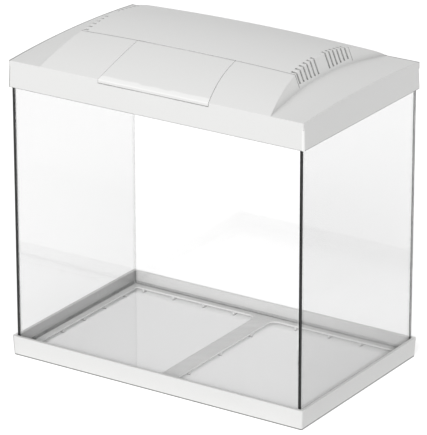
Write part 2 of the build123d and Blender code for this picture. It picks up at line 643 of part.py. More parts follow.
def cover_plan():
    """Outline shared by the splash cover and its gasket."""
    length = TRAY_LENGTH + 2 * TRAY_FLANGE - 2 * COVER_MARGIN
    depth = TRAY_DEPTH + 2 * TRAY_FLANGE - 2 * COVER_MARGIN
    return cut_rectangle(length, depth)


def make_splash_cover():
    """Clear sheet screwed under the lamp tray."""
    low_z = TRAY_BOTTOM_Z - GASKET_THICK - SPLASH_COVER_THICK
    cover = Pos(0, LAMP_Y, low_z) * extrude(cover_plan(), amount=SPLASH_COVER_THICK)
    for x, y in cover_screw_places():
        cover = cover - screw_hole(x, y, low_z, SPLASH_COVER_THICK)
    return cover


def make_cover_gasket():
    """Flat rubber ring between the tray's flange and the splash cover."""
    low_z = TRAY_BOTTOM_Z - GASKET_THICK
    ring = cover_plan() - Rectangle(TRAY_LENGTH - 2 * TRAY_WALL, TRAY_DEPTH - 2 * TRAY_WALL)
    gasket = Pos(0, LAMP_Y, low_z) * extrude(ring, amount=GASKET_THICK)
    for x, y in cover_screw_places():
        gasket = gasket - screw_hole(x, y, low_z, GASKET_THICK)
    return gasket


def make_cover_screws():
    """Six screws through the splash cover and the gasket."""
    head_z = TRAY_BOTTOM_Z - GASKET_THICK - SPLASH_COVER_THICK
    return Compound(children=[make_screw(x, y, head_z, COVER_SCREW_LENGTH) for x, y in cover_screw_places()])


def make_tray_screws():
    """Four screws that hang the lamp tray from the roof's bosses."""
    screws = []
    for side in (-1, 1):
        for y in (LAMP_Y - EAR_Y, LAMP_Y + EAR_Y):
            screws.append(make_screw(side * EAR_X, y, TRAY_BOTTOM_Z, TRAY_SCREW_LENGTH))
    return Compound(children=screws)


def make_reflector():
    """Bent aluminium sheet above the tube."""
    top_z = TRAY_TOP_Z - TRAY_WALL
    low_z = TRAY_BOTTOM_Z + 1
    flat = REFLECTOR_FLAT / 2
    edge = TRAY_DEPTH / 2 - TRAY_WALL - REFLECTOR_SIDE_MARGIN
    thick = REFLECTOR_THICK
    section = Polyline((-flat, top_z), (flat, top_z), (edge, low_z), (edge - thick, low_z),
                       (flat - thick, top_z - thick), (-flat + thick, top_z - thick),
                       (-edge + thick, low_z), (-edge, low_z), close=True)
    reach = TUBE_FACE_LENGTH / 2 - HOLDER_GRIP - 2
    plane = Plane(origin=(-reach, LAMP_Y, 0), x_dir=(0, 1, 0), z_dir=(1, 0, 0))
    return extrude(plane * make_face(section), amount=2 * reach)


def lamp_pin_places(side):
    """Start points of the two contact pins at one end of the tube."""
    x = side * TUBE_FACE_LENGTH / 2
    half = LAMP_PIN_SPACING / 2
    return [(x, LAMP_Y - half, LAMP_Z), (x, LAMP_Y + half, LAMP_Z)]


def make_lamp():
    """Fluorescent tube with its two metal caps and four contact pins."""
    glass_half = TUBE_FACE_LENGTH / 2 - END_CAP_LENGTH
    tube = rod((-glass_half, LAMP_Y, LAMP_Z), (1, 0, 0), TUBE_RADIUS, 2 * glass_half)
    caps = []
    pins = []
    for side in (-1, 1):
        caps.append(rod((side * glass_half, LAMP_Y, LAMP_Z), (side, 0, 0), TUBE_RADIUS, END_CAP_LENGTH))
        for place in lamp_pin_places(side):
            pins.append(small_rod(place, (side, 0, 0), LAMP_PIN_RADIUS, LAMP_PIN_LENGTH))
    return {
        "lamp_tube": tube,
        "lamp_end_caps": Compound(children=caps),
        "lamp_pins": Compound(children=pins),
    }


def make_lamp_holder(side):
    """Waterproof end holder that grips a cap and takes its two pins."""
    inner_x = side * (TUBE_FACE_LENGTH / 2 - HOLDER_GRIP)
    outer_x = side * (TRAY_LENGTH / 2 - TRAY_WALL)
    top_z = TRAY_TOP_Z - TRAY_WALL
    length = abs(outer_x - inner_x)
    collar = rod((inner_x, LAMP_Y, LAMP_Z), (side, 0, 0), HOLDER_RADIUS, length)
    span_x = (inner_x, outer_x)
    span_y = (LAMP_Y - HOLDER_RADIUS, LAMP_Y + HOLDER_RADIUS)
    spine = box_between(span_x, span_y, (LAMP_Z, top_z))
    room = box_between(span_x, span_y, (TRAY_BOTTOM_Z, top_z))
    holder = (collar + spine) & room
    grip = HOLDER_GRIP + HOLDER_CLEARANCE
    holder = holder - rod((inner_x, LAMP_Y, LAMP_Z), (side, 0, 0), TUBE_RADIUS + HOLDER_CLEARANCE, grip)
    socket_radius = LAMP_PIN_RADIUS + PIN_SOCKET_CLEARANCE
    for place in lamp_pin_places(side):
        holder = holder - small_rod(place, (side, 0, 0), socket_radius, LAMP_PIN_LENGTH + PIN_SOCKET_EXTRA)
    return holder


def make_ballast():
    """Electronic ballast with two screw tabs and a cord hole in its right end."""
    top_z = ballast_top_z()
    middle_z = top_z - BALLAST_HEIGHT / 2
    box = Pos(0, BALLAST_Y, middle_z) * Box(BALLAST_LENGTH, BALLAST_DEPTH, BALLAST_HEIGHT)
    box = chamfer(box.edges().filter_by(Axis.Z), TRAY_CORNER_CUT)
    reach = BALLAST_LENGTH / 2 + BALLAST_TAB
    tabs = Pos(0, BALLAST_Y, top_z - BALLAST_TAB_THICK / 2) * Box(2 * reach, BALLAST_TAB, BALLAST_TAB_THICK)
    body = box + tabs
    for side in (-1, 1):
        x = side * ballast_screw_x()
        body = body - screw_hole(x, BALLAST_Y, top_z - BALLAST_TAB_THICK, BALLAST_TAB_THICK)
    mouth = (BALLAST_LENGTH / 2 - BALLAST_CORD_HOLE_DEPTH, BALLAST_Y, middle_z)
    return body - rod(mouth, (1, 0, 0), BALLAST_CORD_HOLE_RADIUS, BALLAST_CORD_HOLE_DEPTH)


def make_ballast_screws():
    """Two screws that hang the ballast from the roof's bosses."""
    head_z = ballast_top_z() - BALLAST_TAB_THICK
    places = [(side * ballast_screw_x(), BALLAST_Y) for side in (-1, 1)]
    return Compound(children=[make_screw(x, y, head_z, COVER_SCREW_LENGTH) for x, y in places])


panes = make_panes()
parts = {"base_frame": make_base_frame()}
parts.update(panes)
parts["bottom_seal"] = make_bottom_seal(panes)
parts["corner_seals"] = make_corner_seals(panes, parts["bottom_seal"])
parts["hood_shell"] = make_hood_shell()
parts["feeding_flap"] = make_feeding_flap()
parts["flap_hinge_pins"] = make_hinge_pins()
parts["lamp_tray"] = make_lamp_tray()
parts["splash_cover"] = make_splash_cover()
parts["cover_gasket"] = make_cover_gasket()
parts["cover_screws"] = make_cover_screws()
parts["tray_screws"] = make_tray_screws()
parts["reflector"] = make_reflector()
parts.update(make_lamp())
parts["left_lamp_holder"] = make_lamp_holder(-1)
parts["right_lamp_holder"] = make_lamp_holder(1)
parts["ballast"] = make_ballast()
parts["ballast_screws"] = make_ballast_screws()

os.makedirs("parts", exist_ok=True)
for name, solid in parts.items():
    export_step(solid, "parts/" + name + ".step")
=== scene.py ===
"""Finishes, floor, light and camera for a small glass aquarium with a moulded hood.

Lengths are metres in Blender and millimetres in the settings. The aquarium stands on the plane z = 0.
"""
import math

import bpy
from bpy.props import FloatProperty, FloatVectorProperty, PointerProperty, StringProperty
from mathutils import Matrix, Vector


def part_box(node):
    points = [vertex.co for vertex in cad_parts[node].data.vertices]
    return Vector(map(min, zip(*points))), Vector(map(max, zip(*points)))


bl_info = {
    "name": "Glass aquarium",
    "version": (1, 0, 0),
    "blender": (4, 5, 0),
    "location": "View3D > Sidebar > Aquarium",
    "description": "Finishes, floor, light and camera for a small glass aquarium",
    "category": "Object",
}

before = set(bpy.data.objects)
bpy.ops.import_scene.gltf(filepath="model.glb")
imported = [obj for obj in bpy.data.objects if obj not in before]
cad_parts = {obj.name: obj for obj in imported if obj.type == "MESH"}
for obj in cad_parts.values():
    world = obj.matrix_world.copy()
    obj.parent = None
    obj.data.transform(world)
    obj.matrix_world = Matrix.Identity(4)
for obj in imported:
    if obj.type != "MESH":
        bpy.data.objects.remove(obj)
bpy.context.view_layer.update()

MM = 0.001
# Length of the picture's long side, in pixels
IMAGE_LONG_SIDE = 435

GLASS_IOR = 1.52
ACRYLIC_IOR = 1.49
SILICONE_IOR = 1.41
PLASTIC_IOR = 1.5

# Material slots of the base frame, the hood and the flap
PLAIN = 0
POLISHED_HIGHLIGHT = 1
SHADED_CORNER = 2

# How squarely a face looks along an axis, as its unit normal's part along that axis
SQUARELY = 0.9
MOSTLY = 0.5
PARTLY = 0.2

# Half the width of the flap's opening at its rear, in mm
FLAP_REAR_CORNER = 67.0
# Gap beside the flap, in mm
FLAP_GAP = 0.9
# How far in front of the flap's rear edge the seam's shade starts, in mm
SEAM_REACH = 1.5
# Size of the skirts' corners, and depth of the flap's lip, in mm
CORNER_REACH = 5.0
LIP_DEPTH = 5.0
# Width of the painted shade line on the hood, inwards from its outline, in mm
OUTLINE_LEFT = 3.4
OUTLINE_REAR = 4.0
# Height up to which the frame's foot is fully painted with shade, and at which that painted shade ends,
# in mm
FOOT_SHADE_FULL = 0.8
FOOT_SHADE_END = 1.8
# How far inside the frame's outline the dimmer part of the floor ends, in mm
FLOOR_INSET = 2.0


def linear(hex_colour):
    """Linear RGBA of an sRGB hex colour such as #F1F1EF."""
    digits = hex_colour.lstrip("#")
    channels = [int(digits[start:start + 2], 16) / 255 for start in (0, 2, 4)]
    return [c / 12.92 if c <= 0.04045 else ((c + 0.055) / 1.055) ** 2.4 for c in channels] + [1.0]


def add_node(tree, kind, inputs=None, **options):
    """Adds a node. An input is given as a value, a socket, or a node whose first output feeds it."""
    node = tree.nodes.new(kind)
    for name, value in options.items():
        setattr(node, name, value)
    for place, value in (inputs or {}).items():
        if isinstance(value, bpy.types.Node):
            value = value.outputs[0]
        if isinstance(value, bpy.types.NodeSocket):
            tree.links.new(value, node.inputs[place])
        else:
            node.inputs[place].default_value = value
    return node


def new_material(name):
    """Empty node material and its node tree."""
    material = bpy.data.materials.new(name)
    material.use_nodes = True
    material.node_tree.nodes.clear()
    return material, material.node_tree


def object_point(tree):
    """Object coordinates of the shaded point, in metres."""
    return add_node(tree, "ShaderNodeTexCoord").outputs["Object"]


def paint(piece, *materials):
    """Gives a piece its materials, one for each slot."""
    piece.data.materials.clear()
    for material in materials:
        piece.data.materials.append(material)


def settings():
    """The finish settings that the panel shows."""
    return bpy.context.scene.aquarium


def moulded_polystyrene(name, roughness, grain_mm, shade_mask=None, recess_shaded=False):
    """White high-impact polystyrene, moulded in a spark-eroded tool: even, with a soft satin sheen."""
    material, tree = new_material(name)
    uneven = 0.04
    point = object_point(tree)
    # The mould's grain, drawn as coarse as shows in a close view
    grain = add_node(tree, "ShaderNodeTexNoise", {
        "Vector": point, "Scale": 1 / (grain_mm * MM), "Detail": 2.0})
    # Slow change of gloss, over some 80 mm, where the plastic cooled at different speeds
    cooling = add_node(tree, "ShaderNodeTexNoise", {"Vector": point, "Scale": 12.0, "Detail": 1.0})
    gloss = add_node(tree, "ShaderNodeMapRange", {
        "Value": cooling, "To Min": roughness - uneven, "To Max": roughness + uneven})
    edge = add_node(tree, "ShaderNodeBevel", {"Radius": settings().edge_round * MM}, samples=6)
    bump = add_node(tree, "ShaderNodeBump", {
        "Strength": 0.12, "Distance": 0.02 * MM, "Height": grain.outputs["Fac"], "Normal": edge})
    # Painted highlight on edges, and painted shade on lower rims and where the shade mask puts it
    shade = edge_shade(tree, point, edge, shade_mask)
    # Painted shade in recesses
    if recess_shaded:
        shade = recess_shade(tree, point, shade)
    plastic = add_node(tree, "ShaderNodeBsdfPrincipled", {
        "Base Color": shade, "Roughness": gloss, "IOR": PLASTIC_IOR,
        "Specular IOR Level": 0.5, "Normal": bump})
    add_node(tree, "ShaderNodeOutputMaterial", {"Surface": plastic})
    return material


def edge_shade(tree, point, edge, shade_mask):
    """The plastic's colour, with painted highlight on edges, and painted shade on lower rims and where
    the shade mask says.
    """
    surface = add_node(tree, "ShaderNodeNewGeometry")
    # Cosine between the rounded edge and the plain face, which is 1 away from edges
    bend = add_node(tree, "ShaderNodeVectorMath", {0: edge, 1: surface.outputs["Normal"]},
                    operation="DOT_PRODUCT")
    near_edge = add_node(tree, "ShaderNodeMapRange", {
        "Value": bend.outputs["Value"], "From Min": 0.998, "From Max": 0.92})
    # Lower rims look below the horizon, and get painted shade
    facing = add_node(tree, "ShaderNodeSeparateXYZ", {"Vector": edge}).outputs
    down = add_node(tree, "ShaderNodeMapRange", {
        "Value": facing["Z"], "From Min": -0.02, "From Max": -0.2})
    painted_shade = add_node(tree, "ShaderNodeMath", {0: near_edge, 1: down}, operation="MULTIPLY")
    if shade_mask:
        place = add_node(tree, "ShaderNodeSeparateXYZ", {"Vector": point}).outputs
        more = shade_mask(tree, near_edge, facing, place)
        painted_shade = add_node(tree, "ShaderNodeMath", {0: painted_shade, 1: more}, operation="MAXIMUM")
    # Painted highlight: the colour turns brighter along the edges
    bright = add_node(tree, "ShaderNodeMix", {
        "Factor": near_edge, "A": linear(settings().plastic_colour), "B": linear(settings().edge_highlight)},
        data_type="RGBA")
    # Painted shade over the colour, on lower rims and where the shade mask says
    return add_node(tree, "ShaderNodeMix", {
        "Factor": painted_shade, "A": bright.outputs["Result"], "B": linear(settings().rim_shade_colour)},
        data_type="RGBA").outputs["Result"]


def frame_edge_shade(tree, near_edge, facing, place):
    """Painted shade on the base frame: on edges that look left or to the rear, and along the foot where
    it stands on the floor.
    """
    # Over 0 where a face looks more to the left and the rear than to the right and the front
    turned = add_node(tree, "ShaderNodeMath", {0: facing["Y"], 1: facing["X"]}, operation="SUBTRACT")
    away = add_node(tree, "ShaderNodeMapRange", {"Value": turned, "From Min": 0.3, "From Max": 0.55})
    edges = add_node(tree, "ShaderNodeMath", {0: away, 1: near_edge}, operation="MULTIPLY")
    # Painted shade along the foot, where the frame meets the floor
    foot = add_node(tree, "ShaderNodeMapRange", {
        "Value": place["Z"], "From Min": FOOT_SHADE_END * MM, "From Max": FOOT_SHADE_FULL * MM})
    return add_node(tree, "ShaderNodeMath", {0: edges, 1: foot}, operation="MAXIMUM")


def hood_outline_shade(tree, near_edge, facing, place):
    """Painted shade: a thin narrow dark band along the hood's upper edge, on the left and the rear."""
    outline_strength = 0.7
    low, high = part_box("hood_shell")
    left = add_node(tree, "ShaderNodeMath", {0: place["X"], 1: low[0] + OUTLINE_LEFT * MM},
                    operation="LESS_THAN")
    rear = add_node(tree, "ShaderNodeMath", {0: place["Y"], 1: high[1] - OUTLINE_REAR * MM},
                    operation="GREATER_THAN")
    band = add_node(tree, "ShaderNodeMath", {0: left, 1: rear}, operation="MAXIMUM")
    # The painted shade stays off the skirt's upright sides
    upward = add_node(tree, "ShaderNodeMath", {0: facing["Z"], 1: 0.15}, operation="GREATER_THAN")
    outline_shade = add_node(tree, "ShaderNodeMath", {0: upward, 1: outline_strength}, operation="MULTIPLY")
    return add_node(tree, "ShaderNodeMath", {0: band, 1: outline_shade}, operation="MULTIPLY")


def recess_shade(tree, point, shade):
    """Painted shade in slots, in the seam and at the foot of the raised part, not round the flap."""
    flap_side, flap_rear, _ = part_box("feeding_flap")[1]
    open_sky = add_node(tree, "ShaderNodeAmbientOcclusion", {"Distance": settings().recess_reach * MM},
                        samples=8)
    # The less open sky a point sees, the deeper it lies
    depth = add_node(tree, "ShaderNodeMapRange", {
        "Value": open_sky.outputs["AO"], "From Min": 0.9, "From Max": 0.2})
    place = add_node(tree, "ShaderNodeSeparateXYZ", {"Vector": point}).outputs
    across = add_node(tree, "ShaderNodeMath", {0: place["X"]}, operation="ABSOLUTE")
    beside = add_node(tree, "ShaderNodeMath", {0: across, 1: flap_side + FLAP_GAP * MM},
                      operation="GREATER_THAN")
    # The seam starts at the rear corners of the flap's opening, which is narrower there
    behind = add_node(tree, "ShaderNodeMath", {0: place["Y"], 1: flap_rear - SEAM_REACH * MM},
                      operation="GREATER_THAN")
    outside = add_node(tree, "ShaderNodeMath", {0: across, 1: FLAP_REAR_CORNER * MM},
                       operation="GREATER_THAN")
    in_seam = add_node(tree, "ShaderNodeMath", {0: behind, 1: outside}, operation="MULTIPLY")
    reached = add_node(tree, "ShaderNodeMath", {0: beside, 1: in_seam}, operation="MAXIMUM")
    shaded = add_node(tree, "ShaderNodeMath", {0: depth, 1: reached}, operation="MULTIPLY")
    # Painted shade: the plastic turns to the recess colour where little open sky reaches it
    return add_node(tree, "ShaderNodeMix", {
        "Factor": shaded, "A": shade, "B": linear(settings().recess_shade_colour)},
        data_type="RGBA").outputs["Result"]


def shaded_corner_polystyrene():
    """The same plastic at the skirts' other corners, painted darker grey as shade, and a little duller.
    """
    return plain_finish("shaded_corner_polystyrene", settings().corner_shade_colour, roughness=0.5, grain_mm=0.6)


def polished_highlight_polystyrene():
    """The same plastic, glossier, and painted near white as a highlight: the flap's lip and the hood's
    front right corner.
    """
    material, tree = new_material("polished_highlight_polystyrene")
    point = object_point(tree)
    # Gloss that changes over some 25 mm
    cooling = add_node(tree, "ShaderNodeTexNoise", {"Vector": point, "Scale": 40.0, "Detail": 1.0})
    gloss = add_node(tree, "ShaderNodeMapRange", {"Value": cooling, "To Min": 0.2, "To Max": 0.28})
    plastic = add_node(tree, "ShaderNodeBsdfPrincipled", {
        "Base Color": linear(settings().highlight_colour), "Roughness": gloss, "IOR": PLASTIC_IOR})
    add_node(tree, "ShaderNodeOutputMaterial", {"Surface": plastic})
    return material


def clear_glass(name, colour, ior):
    """Float glass or cast acrylic: clear, bending the view behind it, with a hard gloss."""
    material, tree = new_material(name)
    glass = add_node(tree, "ShaderNodeBsdfPrincipled", {
        "Base Color": linear(colour), "Roughness": 0.0, "IOR": ior, "Transmission Weight": 1.0})
    # The lamp's light, and light between dull surfaces, pass straight through
    through = add_node(tree, "ShaderNodeBsdfTransparent", {"Color": linear(colour)})
    path = add_node(tree, "ShaderNodeLightPath").outputs
    either = add_node(tree, "ShaderNodeMath", {0: path["Is Shadow Ray"], 1: path["Is Diffuse Ray"]},
                      operation="MAXIMUM")
    mix = add_node(tree, "ShaderNodeMixShader", {"Fac": either, 1: glass, 2: through})
    add_node(tree, "ShaderNodeOutputMaterial", {"Surface": mix})
    return material


def clear_silicone():
    """Clear silicone against glass: nearly no bending of light, with a faint milky gloss."""
    material, tree = new_material("clear_silicone")
    point = object_point(tree)
    # The milkiness changes over some 4 mm
    skin = add_node(tree, "ShaderNodeTexNoise", {"Vector": point, "Scale": 1 / (4.0 * MM), "Detail": 2.0})
    haze = add_node(tree, "ShaderNodeMapRange", {"Value": skin, "To Min": 0.02, "To Max": 0.05})
    silicone = add_node(tree, "ShaderNodeBsdfPrincipled", {
        "Base Color": linear("#F4F5F5"), "Roughness": 0.3, "IOR": SILICONE_IOR, "Alpha": haze})
    add_node(tree, "ShaderNodeOutputMaterial", {"Surface": silicone})
    return material


def sealed_edge():
    """Ground end of the front pane against the silicone, which shows as a dark line through the glass."""
    material, tree = new_material("sealed_glass_edge")
    point = object_point(tree)
    # The marks of the grinding, drawn as coarse as shows in a close view
    grit = add_node(tree, "ShaderNodeTexNoise", {"Vector": point, "Scale": 1 / (0.6 * MM), "Detail": 2.0})
    bump = add_node(tree, "ShaderNodeBump", {
        "Strength": 0.3, "Distance": 0.03 * MM, "Height": grit.outputs["Fac"]})
    # Little gloss, because glass and silicone bend light nearly alike
    edge = add_node(tree, "ShaderNodeBsdfPrincipled", {
        "Base Color": linear(settings().edge_colour), "Roughness": 0.6, "IOR": 1.1, "Normal": bump})
    add_node(tree, "ShaderNodeOutputMaterial", {"Surface": edge})
    return material


def plain_finish(name, colour, roughness, metallic=0.0, grain_mm=0.5, strength=0.15):
    """Finish with a fine even grain in its relief and gloss, for rubber, metal and plain plastic."""
    material, tree = new_material(name)
    uneven = 0.15 * roughness
    point = object_point(tree)
    grain = add_node(tree, "ShaderNodeTexNoise", {
        "Vector": point, "Scale": 1 / (grain_mm * MM), "Detail": 3.0})
    bump = add_node(tree, "ShaderNodeBump", {
        "Strength": strength, "Distance": 0.03 * MM, "Height": grain.outputs["Fac"]})
    shine = add_node(tree, "ShaderNodeMapRange", {
        "Value": grain, "To Min": roughness - uneven, "To Max": roughness + uneven})
    shader = add_node(tree, "ShaderNodeBsdfPrincipled", {
        "Base Color": linear(colour), "Metallic": metallic, "Roughness": shine, "Normal": bump})
    add_node(tree, "ShaderNodeOutputMaterial", {"Surface": shader})
    return material


class AquariumSettings(bpy.types.PropertyGroup):
    """Colours and small sizes of the aquarium's finish."""

    plastic_colour: StringProperty(
        name="Plastic", description="sRGB hex colour of the hood and the base frame", default="#F0F0EF")
    # Painted highlight along the plastic's edges
    edge_highlight: StringProperty(
        name="Edge highlight", description="sRGB hex colour of the plastic along its edges",
        default="#FBFBFA")
    # Painted highlight on the flap's lip and the hood's front right corner
    highlight_colour: StringProperty(
        name="Polished highlight", description="sRGB hex colour of the plastic where the tool was polished",
        default="#FEFEFD")
    # Painted shade on lower rims and on the edges that the shade masks pick
    rim_shade_colour: StringProperty(
        name="Rim shade", description="sRGB hex colour of the plastic along soiled edges",
        default="#747472")
    # Painted shade on the skirts' corners other than the front right
    corner_shade_colour: StringProperty(
        name="Corners", description="sRGB hex colour of the skirts' darkened corners", default="#9C9C9A")
    # Painted shade deep in slots and corners
    recess_shade_colour: StringProperty(
        name="Recesses", description="sRGB hex colour of the plastic deep in slots and corners",
        default="#5A5A59")
    recess_reach: FloatProperty(
        name="Recess reach", description="How far from a nearby wall the plastic looks shaded, in mm",
        default=14.0, min=0.0)
    edge_round: FloatProperty(
        name="Edge rounding", description="Radius that the mould leaves on the plastic's edges, in mm",
        default=1.3, min=0.0, max=2.0)
    glass_tint: StringProperty(
        name="Glass", description="sRGB hex colour of the front, back and bottom panes",
        default="#FFFFFF")
    # Painted shade: the left and right panes are the same glass as the others, tinted darker
    side_shade_tint: StringProperty(
        name="Side glass", description="sRGB hex colour of the left and right panes", default="#E8E8E8")
    cut_colour: StringProperty(
        name="Cut edge", description="sRGB hex colour of the panes' cut ends", default="#1C1E1E")
    edge_colour: StringProperty(
        name="Sealed edge", description="sRGB hex colour of the ends against the silicone",
        default="#0C0E0E")


class StudioSettings(bpy.types.PropertyGroup):
    """Camera and light of the studio."""

    camera_place: FloatVectorProperty(
        name="Camera", description="Place of the camera", subtype="XYZ", unit="LENGTH",
        default=(2.15685, -3.30003, 1.69631))
    camera_aim: FloatVectorProperty(
        name="Aim", description="Point that the camera looks at", subtype="XYZ", unit="LENGTH",
        default=(-0.014957, 0.021587, 0.163743))
    camera_roll: FloatProperty(
        name="Roll", description="Turn of the camera about its axis", subtype="ANGLE",
        default=math.radians(-0.063))
    focal_pixels: FloatProperty(
        name="Focal length in pixels", description="Focal length as a count of the picture's pixels",
        default=3633.15)
    ambient: FloatProperty(
        name="Ambient", description="Even light from all round", default=0.6, min=0.0)
    backdrop: FloatProperty(
        name="Backdrop", description="Brightness of the world behind the object and in its mirrors",
        default=1.0, min=0.0)
    key_strength: FloatProperty(
        name="Key", description="Strength of the soft key light", default=1.5, min=0.0)
    key_spread: FloatProperty(
        name="Key spread", description="Angle that the key light fills, which softens its shadows",
        subtype="ANGLE", default=math.radians(35))
    key_azimuth: FloatProperty(
        name="Key azimuth", description="Direction the key comes from, to the right of the front",
        subtype="ANGLE", default=math.radians(15))
    key_elevation: FloatProperty(
        name="Key elevation", description="Height of the key above the horizon",
        subtype="ANGLE", default=math.radians(31))
    floor_size: FloatProperty(
        name="Floor", description="Length of the floor's sides", unit="LENGTH", default=12.0, min=1.0)
    floor_glow: FloatProperty(
        name="Floor glow", description="Light that the floor shows on top of what falls on it",
        default=0.5, min=0.0)
    # Lower glow under the base frame: painted shade
    floor_glow_inside: FloatProperty(
        name="Floor glow inside", description="The same within the base frame", default=0.1, min=0.0)


def plastic_slot(name, low, high, face):
    """Material slot of a face of the base frame, the hood or the flap, whose box is low to high."""
    normal = face.normal
    place = face.center
    if name == "feeding_flap":
        # The flap's lip gets the painted highlight
        on_lip = place.y < low[1] + LIP_DEPTH * MM and normal.y < -MOSTLY and normal.z > PARTLY
        return POLISHED_HIGHLIGHT if on_lip else PLAIN
    reach = CORNER_REACH * MM
    at_corner = abs(place.x) > high[0] - reach and abs(place.y) > high[1] - reach
    # A rounded corner is upright and looks partly along X and partly along Y
    rounded = min(abs(normal.x), abs(normal.y)) > PARTLY and abs(normal.z) < PARTLY
    if not (at_corner and rounded):
        return PLAIN
    # The hood's front right corner gets the painted highlight, the other corners painted shade
    front_right = place.x > 0 and place.y < 0
    if front_right:
        return POLISHED_HIGHLIGHT if name == "hood_shell" else PLAIN
    return SHADED_CORNER


class AQUARIUM_OT_plastic(bpy.types.Operator):
    """Finishes the base frame, the hood and the feeding flap."""

    bl_idname = "aquarium.plastic"
    bl_label = "Moulded plastic"

    def execute(self, context):
        polished_highlight = polished_highlight_polystyrene()
        painted_shade = shaded_corner_polystyrene()
        finishes = {
            "base_frame": moulded_polystyrene(
                "base_polystyrene", roughness=0.42, grain_mm=0.6, shade_mask=frame_edge_shade),
            "hood_shell": moulded_polystyrene(
                "hood_polystyrene", roughness=0.45, grain_mm=0.5, shade_mask=hood_outline_shade, recess_shaded=True),
            "feeding_flap": moulded_polystyrene("flap_polystyrene", roughness=0.45, grain_mm=0.5),
        }
        for name, material in finishes.items():
            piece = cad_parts[name]
            paint(piece, material, polished_highlight, painted_shade)
            low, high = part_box(name)
            for face in piece.data.polygons:
                face.material_index = plastic_slot(name, low, high, face)
        return {"FINISHED"}


class AQUARIUM_OT_panes(bpy.types.Operator):
    """Finishes the five panes, with their cut ends apart."""

    bl_idname = "aquarium.panes"
    bl_label = "Glass panes"

    def execute(self, context):
        glass = clear_glass("float_glass", settings().glass_tint, GLASS_IOR)
        # The side panes are a darker copy of the same glass: painted shade
        shaded_side_glass = clear_glass("shaded_side_float_glass", settings().side_shade_tint, GLASS_IOR)
        # Light that enters a cut end is lost along the pane, so the end looks dark
        cut = clear_glass("cut_glass_edge", settings().cut_colour, GLASS_IOR)
        sealed = sealed_edge()
        thin_axis = {"left_pane": 0, "right_pane": 0, "front_pane": 1, "back_pane": 1, "bottom_pane": 2}
        for name, axis in thin_axis.items():
            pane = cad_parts[name]
            paint(pane, shaded_side_glass if axis == 0 else glass, sealed if name == "front_pane" else cut)
            for face in pane.data.polygons:
                is_end = abs(face.normal[axis]) < SQUARELY
                lower_or_front = face.normal.y < -MOSTLY or face.normal.z < -MOSTLY
                is_dark = lower_or_front or name in ("front_pane", "right_pane")
                face.material_index = 1 if is_end and is_dark else 0
        return {"FINISHED"}


class AQUARIUM_OT_seals(bpy.types.Operator):
    """Finishes the silicone joints between the panes."""

    bl_idname = "aquarium.seals"
    bl_label = "Silicone joints"

    def execute(self, context):
        silicone = clear_silicone()
        paint(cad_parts["bottom_seal"], silicone)
        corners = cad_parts["corner_seals"]
        paint(corners, silicone, sealed_edge())
        joint_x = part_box("front_pane")[1][0]
        for face in corners.data.polygons:
            in_joint = abs(face.center.x) > joint_x
            face.material_index = 1 if in_joint and face.normal.y < -SQUARELY else 0
        return {"FINISHED"}


class AQUARIUM_OT_lamp(bpy.types.Operator):
    """Finishes the lamp unit, the ballast and the fasteners under the roof."""

    bl_idname = "aquarium.lamp"
    bl_label = "Lamp unit"

    def execute(self, context):
        finishes = {
            # Moulded: mid grey with a satin grain
            "lamp_tray": plain_finish("tray_polystyrene", "#77787A", roughness=0.5),
            # Rolled bright: nearly a mirror
            "reflector": plain_finish(
                "rolled_aluminium", "#DCDDDF", roughness=0.18, metallic=1.0, grain_mm=0.8),
            # Drawn glass, white from the powder inside: smooth and glossy
            "lamp_tube": plain_finish(
                "phosphor_tube", "#F2F2EF", roughness=0.12, grain_mm=2.0, strength=0.03),
            # Spun from sheet: pale with a soft gloss
            "lamp_end_caps": plain_finish(
                "spun_aluminium", "#B9BABC", roughness=0.32, metallic=1.0, grain_mm=0.4),
            # Drawn wire: yellow with a soft gloss
            "lamp_pins": plain_finish(
                "drawn_brass", "#C9A961", roughness=0.28, metallic=1.0, grain_mm=0.3),
            # Foamed in sheet: black, dull and porous
            "cover_gasket": plain_finish(
                "foam_rubber", "#1E1E1E", roughness=0.8, grain_mm=0.8, strength=0.5),
            # Moulded box: dark grey with a satin grain
            "ballast": plain_finish("grey_polycarbonate", "#3A3B3D", roughness=0.5),
            # Cast sheet: clear with a hard gloss
            "splash_cover": clear_glass("clear_acrylic", "#F8FAFA", ACRYLIC_IOR),
        }
        # Moulded: black with a faint gloss
        holder = plain_finish("black_polyester", "#1B1B1C", roughness=0.45)
        # Plated: grey metal, fairly bright
        zinc = plain_finish("zinc_plated_steel", "#B4B6BA", roughness=0.3, metallic=1.0, grain_mm=0.4)
        for name in ("left_lamp_holder", "right_lamp_holder"):
            finishes[name] = holder
        for name in ("flap_hinge_pins", "cover_screws", "tray_screws", "ballast_screws"):
            finishes[name] = zinc
        for name, material in finishes.items():
            paint(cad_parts[name], material)
        return {"FINISHED"}


def shown_rays(tree):
    """1 for the rays that carry a view: from the camera, by a mirror or through glass."""
    path = add_node(tree, "ShaderNodeLightPath").outputs
    shown = path["Is Camera Ray"]
    for name in ("Is Glossy Ray", "Is Transmission Ray"):
        shown = add_node(tree, "ShaderNodeMath", {0: shown, 1: path[name]}, operation="MAXIMUM")
    return shown


